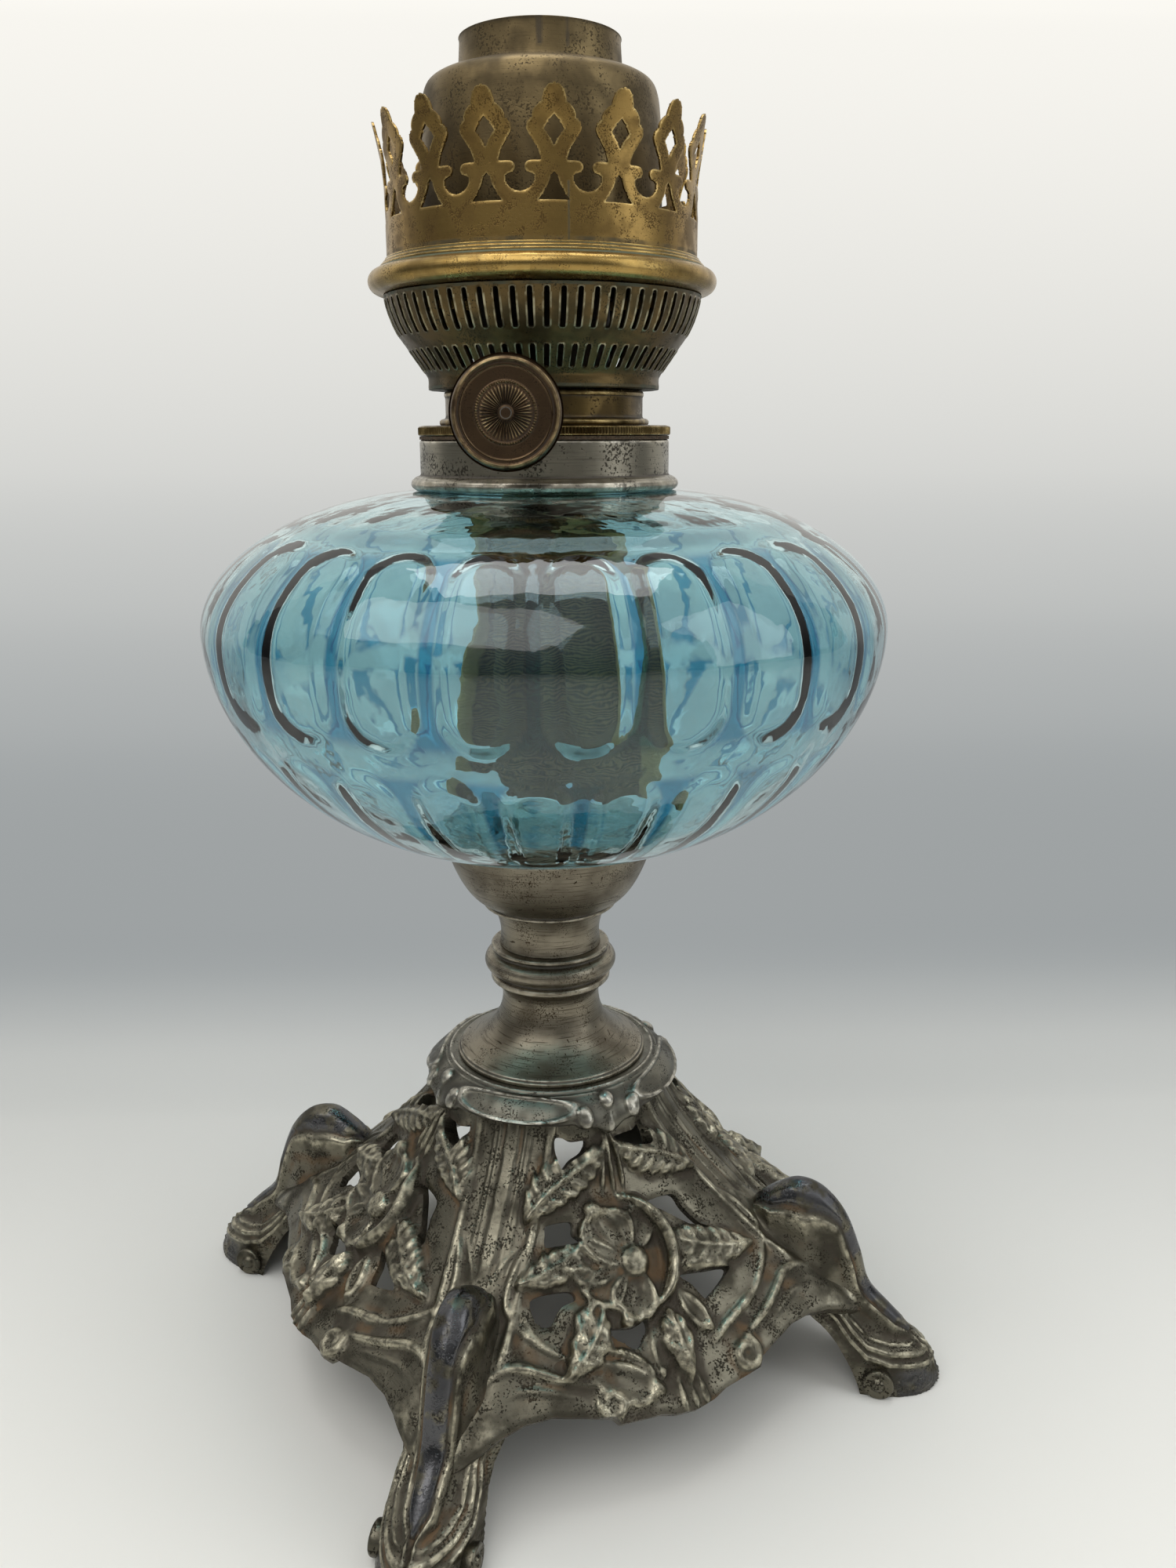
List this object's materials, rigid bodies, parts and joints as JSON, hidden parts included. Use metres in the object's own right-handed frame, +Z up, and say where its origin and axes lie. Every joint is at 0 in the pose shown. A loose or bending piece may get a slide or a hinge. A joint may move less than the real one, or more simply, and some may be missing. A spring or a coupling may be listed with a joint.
{
  "type": "kerosene lamp",
  "caption": "Table kerosene lamp with a pierced cast metal foot, turned stem, optic glass font, screwed round-wick burner with knob winder, slotted draught basket and cut gallery crown.",
  "frame": {"origin": "on the ground under the lamp's axis", "axes": "+Z up along the lamp's axis; the four faces of the foot look along the X and Y axes"},
  "size_m": [0.1668, 0.1668, 0.3299],
  "materials": {
    "foot_casting": "worn, dirt in the recesses",
    "stem_plate": "worn plating",
    "plaster": "matt",
    "steel": "dull",
    "font_glass": "clear turquoise",
    "collar_plate": "pitted plating",
    "cork": "matt",
    "burner_brass": "patinated",
    "basket_brass": "dark patina with verdigris",
    "bezel_brass": "worn bright",
    "crown_brass": "speckled patina",
    "dome_brass": "heat browned",
    "knob_brass": "dark with worn rim",
    "wick_cotton": "oil soaked cotton"
  },
  "bodies": {
    "foot_and_font": {"base_casting": "foot_casting", "cap_ring": "foot_casting", "stem_bell": "stem_plate", "stem_knop": "stem_plate", "stem_neck": "stem_plate", "font_cup": "stem_plate", "cup_plaster": "plaster", "tie_rod": "steel", "tie_washer": "steel", "tie_nut": "steel", "glass_font": "font_glass", "font_collar": "collar_plate", "collar_cement": "plaster"},
    "washer": {"sealing_washer": "cork"},
    "burner": {"knurled_ring": "burner_brass", "tube_plate": "burner_brass", "burner_throat": "burner_brass", "draught_basket": "basket_brass", "bezel_ring": "bezel_brass", "chimney_seat": "burner_brass", "gallery_crown": "crown_brass", "air_deflector": "dome_brass", "outer_wick_tube": "burner_brass", "inner_draught_tube": "burner_brass", "shaft_sleeve": "burner_brass"},
    "winder": {"wick_knob": "knob_brass", "knob_shaft": "steel", "feed_wheels": "steel", "shaft_collar": "steel"},
    "wick_band": {"wick": "wick_cotton"}
  },
  "joints": [
    {"name": "burner_lift", "type": "slide", "parent": "foot_and_font", "child": "washer", "axis": [0, 0, 1], "range_m": [0, 0.0054]},
    {"name": "burner_unscrew", "type": "hinge", "parent": "washer", "child": "burner", "pos_m": [0, 0, 0.2455], "axis": [0, 0, 1], "range_deg": [0, 1080]},
    {"name": "knob_turn", "type": "hinge", "parent": "burner", "child": "winder", "pos_m": [-0.00571, 0.0031, 0.249], "axis": [0.4772, 0.8788, 0], "range_deg": [-50, 125]},
    {"name": "wick_travel", "type": "slide", "parent": "burner", "child": "wick_band", "axis": [0, 0, 1], "range_m": [-0.004, 0.01]}
  ],
  "couplings": [
    {"joint": "burner_lift", "follows": "burner_unscrew", "m_per_rad": 0.000286},
    {"joint": "wick_travel", "follows": "knob_turn", "m_per_rad": 0.0045}
  ]
}
